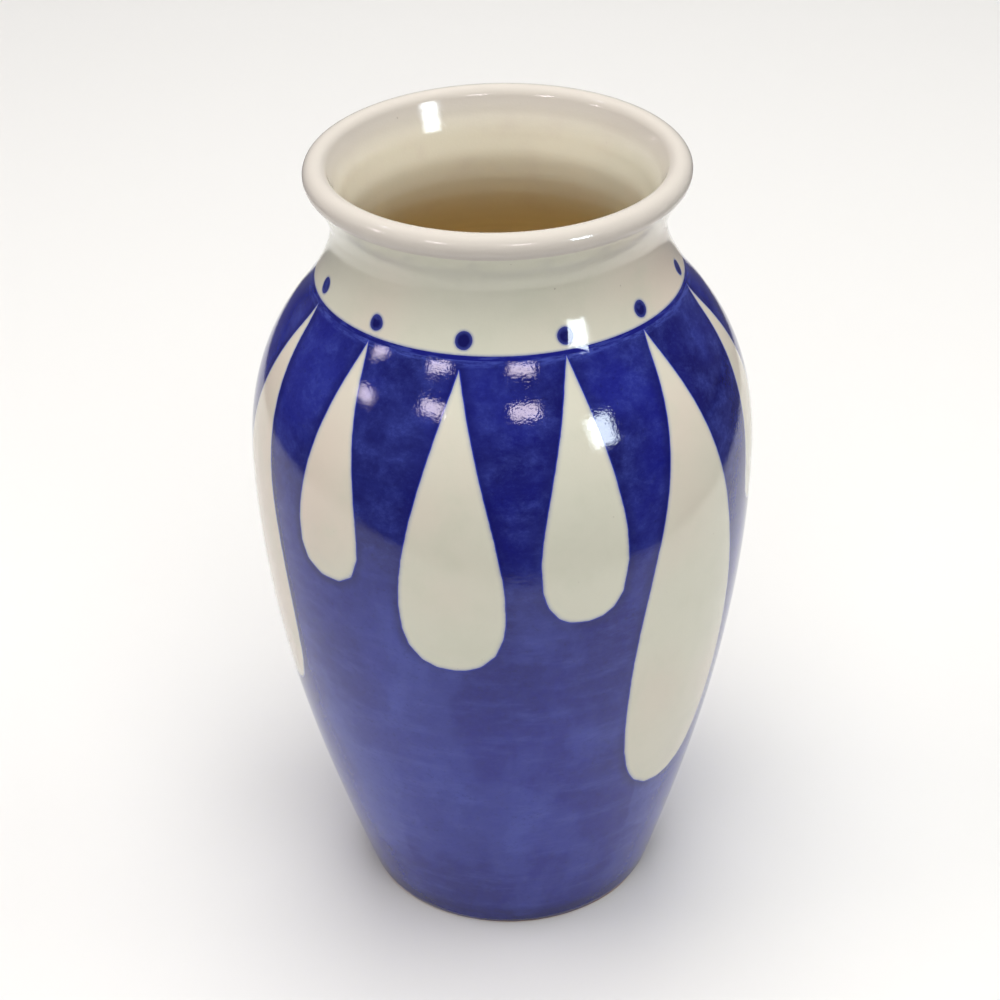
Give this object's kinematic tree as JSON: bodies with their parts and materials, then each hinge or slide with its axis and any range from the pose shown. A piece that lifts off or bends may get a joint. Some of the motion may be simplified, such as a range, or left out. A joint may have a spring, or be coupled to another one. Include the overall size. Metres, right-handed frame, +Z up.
{
  "type": "pottery vase",
  "caption": "Tall glazed earthenware vase with a round belly, flared collar and beaded rim, cobalt blue ground with ivory teardrops; holds stems or stands as decoration.",
  "frame": {"origin": "centre of the foot ring's resting plane", "axes": "+Z up along the axis of the pot, -Y towards the front"},
  "size_m": [0.19, 0.19, 0.31],
  "materials": {
    "bare_foot": "unglazed fired clay, matt and slightly gritty, greyed where it rubs the table",
    "fired_clay": "fired earthenware under the glaze, matt",
    "lining": "glossy cream glaze over buff clay, darker and browner further down",
    "rim_cream": "glossy ivory glaze, faintly pinker where it thins over the bead",
    "collar_cream": "glossy ivory tin glaze",
    "line_blue": "thin dark cobalt brush line, glossy",
    "cobalt": "glossy cobalt blue glaze brushed in broad strokes, with a fine orange-peel surface",
    "drop_cream": "glossy ivory glaze with a soft blue bleed along its edge",
    "dot_blue": "cobalt dot with a soft halo, under the gloss"
  },
  "bodies": {
    "root": {"foot_ring": "bare_foot", "floor_disc": "fired_clay", "foot_wall": "fired_clay", "lower_wall": "fired_clay", "belly_wall": "fired_clay", "shoulder_wall": "fired_clay", "neck_wall": "fired_clay", "collar_wall": "fired_clay", "rim_bead": "fired_clay", "lining_glaze": "lining", "rim_glaze": "rim_cream", "collar_glaze": "collar_cream", "brushed_line": "line_blue", "blue_glaze": "cobalt", "teardrop_long_1": "drop_cream", "teardrop_short_1": "drop_cream", "teardrop_medium_1": "drop_cream", "teardrop_short_2": "drop_cream", "teardrop_long_2": "drop_cream", "teardrop_short_3": "drop_cream", "teardrop_medium_2": "drop_cream", "teardrop_short_4": "drop_cream", "teardrop_long_3": "drop_cream", "teardrop_short_5": "drop_cream", "teardrop_medium_3": "drop_cream", "teardrop_short_6": "drop_cream", "dot_1": "dot_blue", "dot_2": "dot_blue", "dot_3": "dot_blue", "dot_4": "dot_blue", "dot_5": "dot_blue", "dot_6": "dot_blue", "dot_7": "dot_blue", "dot_8": "dot_blue", "dot_9": "dot_blue", "dot_10": "dot_blue", "dot_11": "dot_blue", "dot_12": "dot_blue"}
  },
  "joints": []
}
